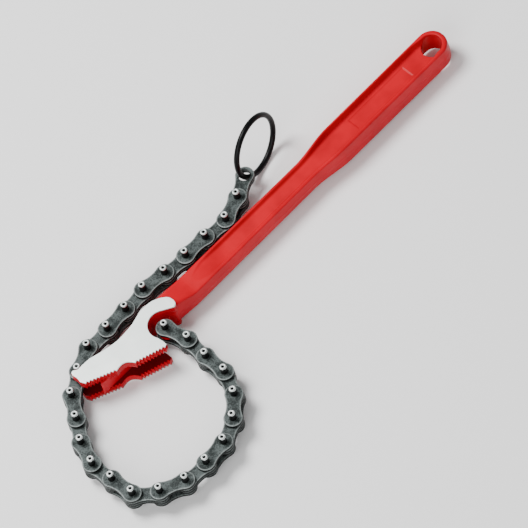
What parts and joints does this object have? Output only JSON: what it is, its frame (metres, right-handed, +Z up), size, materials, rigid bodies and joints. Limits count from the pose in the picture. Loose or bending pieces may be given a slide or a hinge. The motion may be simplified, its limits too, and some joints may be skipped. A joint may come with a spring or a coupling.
{
  "type": "chain pipe wrench",
  "caption": "Forged handle with a toothed double-cheek head; a leaf chain is pinned in its notch, wraps the pipe, hooks over the nose and ends in a ring.",
  "frame": {"origin": "a point on the flat outer face of the lower cheek, 29.65 mm towards the nose and 6.65 mm towards the back edge from the anchor pin", "axes": "+X along the handle towards its hang hole, +Y towards the back edge of the head, +Z up through the tool as it lies on one cheek"},
  "size_m": [0.3369, 0.1317, 0.0408],
  "materials": {
    "red_enamel": "glossy red enamel on forged steel",
    "chain_steel": "dark oiled heat-treated steel",
    "black_wire": "blackened steel wire"
  },
  "bodies": {
    "handle": {"handle": "red_enamel"},
    "link_01": {"link_01_pinned_plate": "chain_steel", "link_01_cover_plate": "chain_steel"},
    "link_02": {"link_02_lower_plate": "chain_steel", "link_02_upper_plate": "chain_steel"},
    "link_03": {"link_03_pinned_plate": "chain_steel", "link_03_cover_plate": "chain_steel"},
    "link_04": {"link_04_lower_plate": "chain_steel", "link_04_upper_plate": "chain_steel"},
    "link_05": {"link_05_pinned_plate": "chain_steel", "link_05_cover_plate": "chain_steel"},
    "link_06": {"link_06_lower_plate": "chain_steel", "link_06_upper_plate": "chain_steel"},
    "link_07": {"link_07_pinned_plate": "chain_steel", "link_07_cover_plate": "chain_steel"},
    "link_08": {"link_08_lower_plate": "chain_steel", "link_08_upper_plate": "chain_steel"},
    "link_09": {"link_09_pinned_plate": "chain_steel", "link_09_cover_plate": "chain_steel"},
    "link_10": {"link_10_lower_plate": "chain_steel", "link_10_upper_plate": "chain_steel"},
    "link_11": {"link_11_pinned_plate": "chain_steel", "link_11_cover_plate": "chain_steel"},
    "link_12": {"link_12_lower_plate": "chain_steel", "link_12_upper_plate": "chain_steel"},
    "link_13": {"link_13_pinned_plate": "chain_steel", "link_13_cover_plate": "chain_steel"},
    "link_14": {"link_14_lower_plate": "chain_steel", "link_14_upper_plate": "chain_steel"},
    "link_15": {"link_15_pinned_plate": "chain_steel", "link_15_cover_plate": "chain_steel"},
    "link_16": {"link_16_lower_plate": "chain_steel", "link_16_upper_plate": "chain_steel"},
    "link_17": {"link_17_pinned_plate": "chain_steel", "link_17_cover_plate": "chain_steel"},
    "link_18": {"link_18_lower_plate": "chain_steel", "link_18_upper_plate": "chain_steel"},
    "link_19": {"link_19_pinned_plate": "chain_steel", "link_19_cover_plate": "chain_steel"},
    "link_20": {"link_20_lower_plate": "chain_steel", "link_20_upper_plate": "chain_steel"},
    "link_21": {"link_21_pinned_plate": "chain_steel", "link_21_cover_plate": "chain_steel"},
    "link_22": {"link_22_lower_plate": "chain_steel", "link_22_upper_plate": "chain_steel"},
    "link_23": {"link_23_pinned_plate": "chain_steel", "link_23_cover_plate": "chain_steel"},
    "link_24": {"link_24_lower_plate": "chain_steel", "link_24_upper_plate": "chain_steel"},
    "link_25": {"link_25_pinned_plate": "chain_steel", "link_25_cover_plate": "chain_steel"},
    "link_26": {"link_26_lower_plate": "chain_steel", "link_26_upper_plate": "chain_steel"},
    "ring": {"ring": "black_wire"}
  },
  "joints": [
    {"name": "pin_01_hinge", "type": "hinge", "parent": "handle", "child": "link_01", "pos_m": [0.02965, -0.00665, 0.01075], "axis": [0, 0, 1], "range_deg": [-36, 0]},
    {"name": "pin_02_hinge", "type": "hinge", "parent": "link_01", "child": "link_02", "pos_m": [0.03241, -0.02228, 0.01075], "axis": [0, 0, 1], "range_deg": [0, 3.8]},
    {"name": "pin_03_hinge", "type": "hinge", "parent": "link_02", "child": "link_03", "pos_m": [0.03075, -0.03807, 0.01075], "axis": [0, 0, 1], "range_deg": [0, 3.8]},
    {"name": "pin_04_hinge", "type": "hinge", "parent": "link_03", "child": "link_04", "pos_m": [0.03019, -0.05394, 0.01075], "axis": [0, 0, 1], "range_deg": [0, 3.8]},
    {"name": "pin_05_hinge", "type": "hinge", "parent": "link_04", "child": "link_05", "pos_m": [0.02323, -0.06821, 0.01075], "axis": [0, 0, 1], "range_deg": [0, 3.8]},
    {"name": "pin_06_hinge", "type": "hinge", "parent": "link_05", "child": "link_06", "pos_m": [0.01144, -0.07883, 0.01075], "axis": [0, 0, 1], "range_deg": [0, 3.8]},
    {"name": "pin_07_hinge", "type": "hinge", "parent": "link_06", "child": "link_07", "pos_m": [-0.00307, -0.08528, 0.01075], "axis": [0, 0, 1], "range_deg": [0, 3.8]},
    {"name": "pin_08_hinge", "type": "hinge", "parent": "link_07", "child": "link_08", "pos_m": [-0.0189, -0.08639, 0.01075], "axis": [0, 0, 1], "range_deg": [0, 3.8]},
    {"name": "pin_09_hinge", "type": "hinge", "parent": "link_08", "child": "link_09", "pos_m": [-0.03474, -0.08528, 0.01075], "axis": [0, 0, 1], "range_deg": [0, 3.8]},
    {"name": "pin_10_hinge", "type": "hinge", "parent": "link_09", "child": "link_10", "pos_m": [-0.04901, -0.07833, 0.01075], "axis": [0, 0, 1], "range_deg": [0, 3.8]},
    {"name": "pin_11_hinge", "type": "hinge", "parent": "link_10", "child": "link_11", "pos_m": [-0.06003, -0.06691, 0.01075], "axis": [0, 0, 1], "range_deg": [0, 3.8]},
    {"name": "pin_12_hinge", "type": "hinge", "parent": "link_11", "child": "link_12", "pos_m": [-0.06059, -0.05104, 0.01075], "axis": [0, 0, 1], "range_deg": [0, 3.8]},
    {"name": "pin_13_hinge", "type": "hinge", "parent": "link_12", "child": "link_13", "pos_m": [-0.06059, -0.03517, 0.01075], "axis": [0, 0, 1], "range_deg": [0, 25]},
    {"name": "pin_14_hinge", "type": "hinge", "parent": "link_13", "child": "link_14", "pos_m": [-0.05464, -0.02045, 0.01075], "axis": [0, 0, 1], "range_deg": [0, 25]},
    {"name": "pin_15_hinge", "type": "hinge", "parent": "link_14", "child": "link_15", "pos_m": [-0.04531, -0.0076, 0.01075], "axis": [0, 0, 1], "range_deg": [0, 25]},
    {"name": "pin_16_hinge", "type": "hinge", "parent": "link_15", "child": "link_16", "pos_m": [-0.03598, 0.00524, 0.01075], "axis": [0, 0, 1], "range_deg": [0, 25]},
    {"name": "pin_17_hinge", "type": "hinge", "parent": "link_16", "child": "link_17", "pos_m": [-0.02223, 0.01318, 0.01075], "axis": [0, 0, 1], "range_deg": [0, 36]},
    {"name": "pin_18_hinge", "type": "hinge", "parent": "link_17", "child": "link_18", "pos_m": [-0.00773, 0.01963, 0.01075], "axis": [0, 0, 1], "range_deg": [0, 25]},
    {"name": "pin_19_hinge", "type": "hinge", "parent": "link_18", "child": "link_19", "pos_m": [0.00814, 0.01936, 0.01075], "axis": [0, 0, 1], "range_deg": [0, 25]},
    {"name": "pin_20_hinge", "type": "hinge", "parent": "link_19", "child": "link_20", "pos_m": [0.02401, 0.01991, 0.01075], "axis": [0, 0, 1], "range_deg": [0, 25]},
    {"name": "pin_21_hinge", "type": "hinge", "parent": "link_20", "child": "link_21", "pos_m": [0.03984, 0.02102, 0.01075], "axis": [0, 0, 1], "range_deg": [0, 25]},
    {"name": "pin_22_hinge", "type": "hinge", "parent": "link_21", "child": "link_22", "pos_m": [0.05557, 0.01881, 0.01075], "axis": [0, 0, 1], "range_deg": [0, 25]},
    {"name": "pin_23_hinge", "type": "hinge", "parent": "link_22", "child": "link_23", "pos_m": [0.07135, 0.01715, 0.01075], "axis": [0, 0, 1], "range_deg": [-1, 25]},
    {"name": "pin_24_hinge", "type": "hinge", "parent": "link_23", "child": "link_24", "pos_m": [0.08722, 0.01659, 0.01075], "axis": [0, 0, 1], "range_deg": [-2, 25]},
    {"name": "pin_25_hinge", "type": "hinge", "parent": "link_24", "child": "link_25", "pos_m": [0.10303, 0.01521, 0.01075], "axis": [0, 0, 1], "range_deg": [-20, 30]},
    {"name": "pin_26_hinge", "type": "hinge", "parent": "link_25", "child": "link_26", "pos_m": [0.11804, 0.02038, 0.01075], "axis": [0, 0, 1], "range_deg": [-25, 40]},
    {"name": "ring_swivel", "type": "hinge", "parent": "link_26", "child": "ring", "pos_m": [0.13179, 0.02832, 0.01075], "axis": [0, 0, 1], "range_deg": [-40, 70]}
  ],
  "couplings": [
    {"joint": "pin_02_hinge", "follows": "pin_01_hinge", "ratio": -0.1},
    {"joint": "pin_03_hinge", "follows": "pin_01_hinge", "ratio": -0.1},
    {"joint": "pin_04_hinge", "follows": "pin_01_hinge", "ratio": -0.1},
    {"joint": "pin_05_hinge", "follows": "pin_01_hinge", "ratio": -0.1},
    {"joint": "pin_06_hinge", "follows": "pin_01_hinge", "ratio": -0.1},
    {"joint": "pin_07_hinge", "follows": "pin_01_hinge", "ratio": -0.1},
    {"joint": "pin_08_hinge", "follows": "pin_01_hinge", "ratio": -0.1},
    {"joint": "pin_09_hinge", "follows": "pin_01_hinge", "ratio": -0.1},
    {"joint": "pin_10_hinge", "follows": "pin_01_hinge", "ratio": -0.1},
    {"joint": "pin_11_hinge", "follows": "pin_01_hinge", "ratio": -0.1},
    {"joint": "pin_12_hinge", "follows": "pin_01_hinge", "ratio": -0.1},
    {"joint": "pin_17_hinge", "follows": "pin_01_hinge", "ratio": -1}
  ]
}
